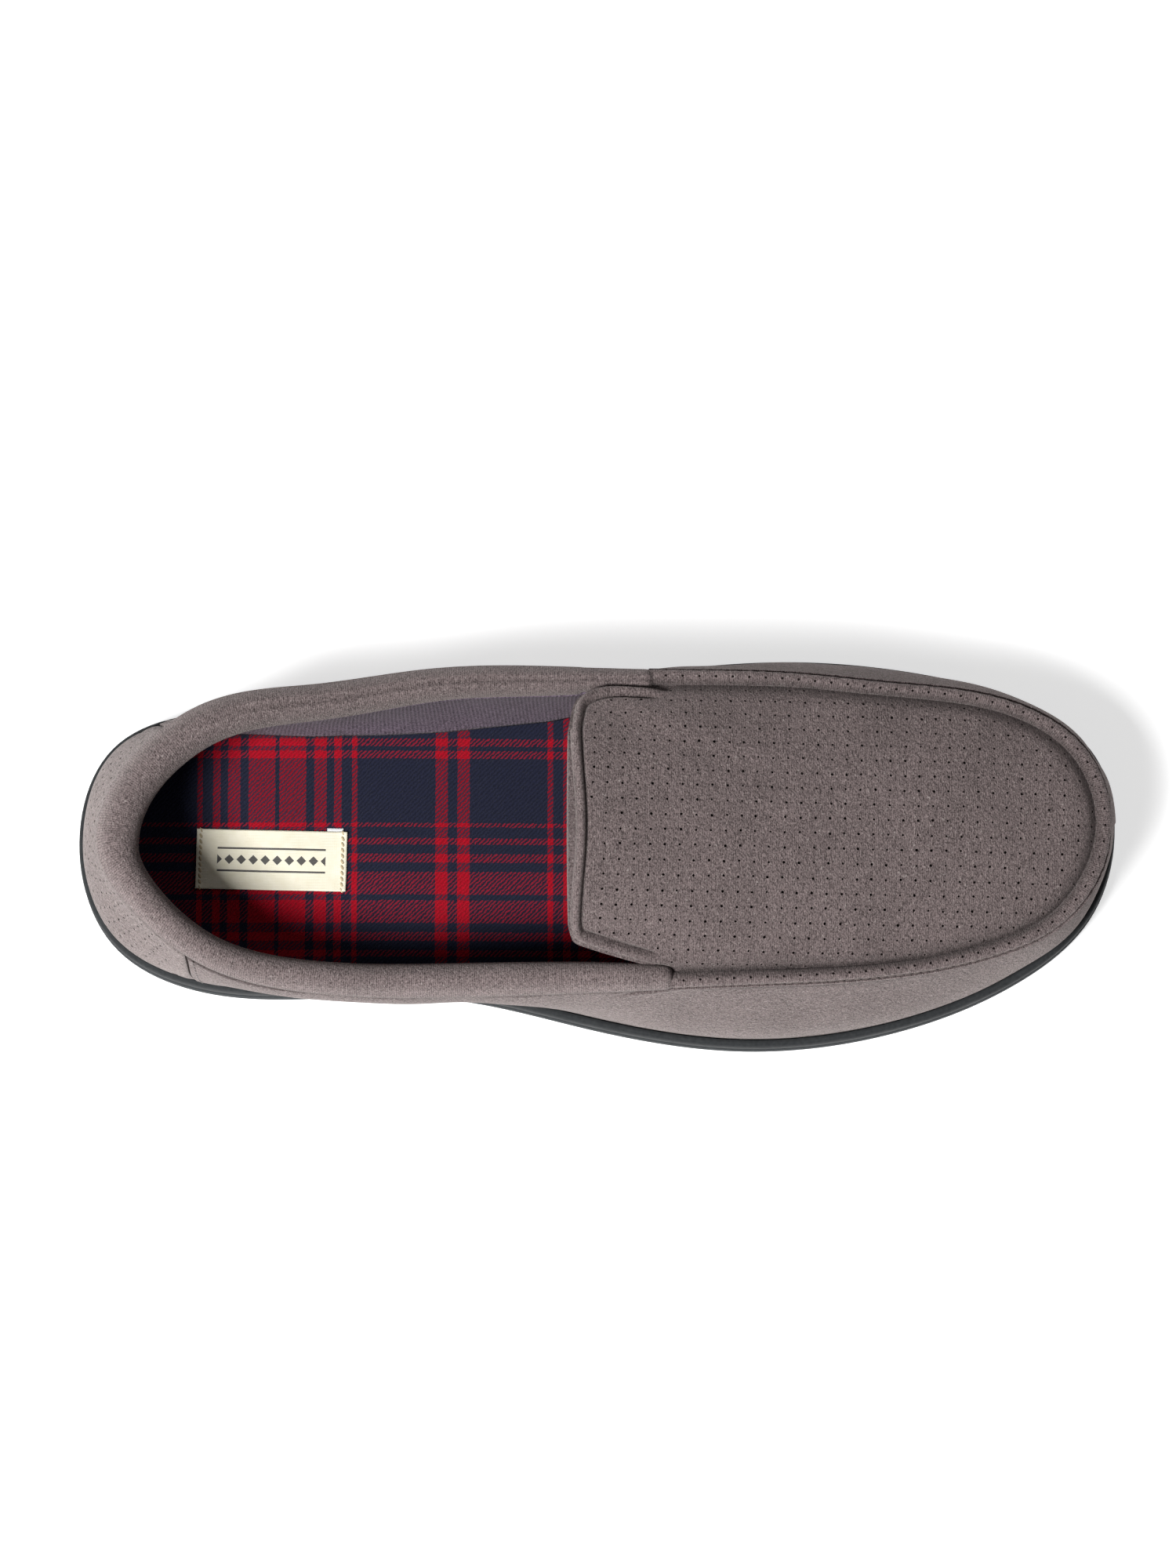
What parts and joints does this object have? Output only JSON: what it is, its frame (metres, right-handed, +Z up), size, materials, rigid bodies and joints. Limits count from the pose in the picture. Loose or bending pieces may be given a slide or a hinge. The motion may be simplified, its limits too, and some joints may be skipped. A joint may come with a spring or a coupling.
{
  "type": "moccasin slipper",
  "caption": "Right moccasin slipper: hollow upper with a perforated plug and tongue flap, raised seam, padded collar, plaid insole and rubber sole.",
  "frame": {"origin": "on the floor under the middle of the sole, at the centre of the bounding box in plan", "axes": "+X towards the toe, +Y towards the inner (medial) side of the foot, +Z up"},
  "size_m": [0.295, 0.1114, 0.0799],
  "materials": {
    "outsole": "matt moulded rubber, fine pebble on the side",
    "insole": "brushed red and navy plaid flannel over foam",
    "upper": "taupe microsuede",
    "apron": "taupe microsuede, perforated",
    "moccasin_seam": "taupe microsuede, stitched ridge",
    "collar": "taupe microsuede over foam",
    "heel_counter": "taupe microsuede, perforated",
    "label": "cream woven satin"
  },
  "bodies": {
    "root": {"outsole": "outsole", "insole": "insole", "upper": "upper", "apron": "apron", "moccasin_seam": "moccasin_seam", "collar": "collar", "heel_counter": "heel_counter", "label": "label"}
  },
  "joints": []
}
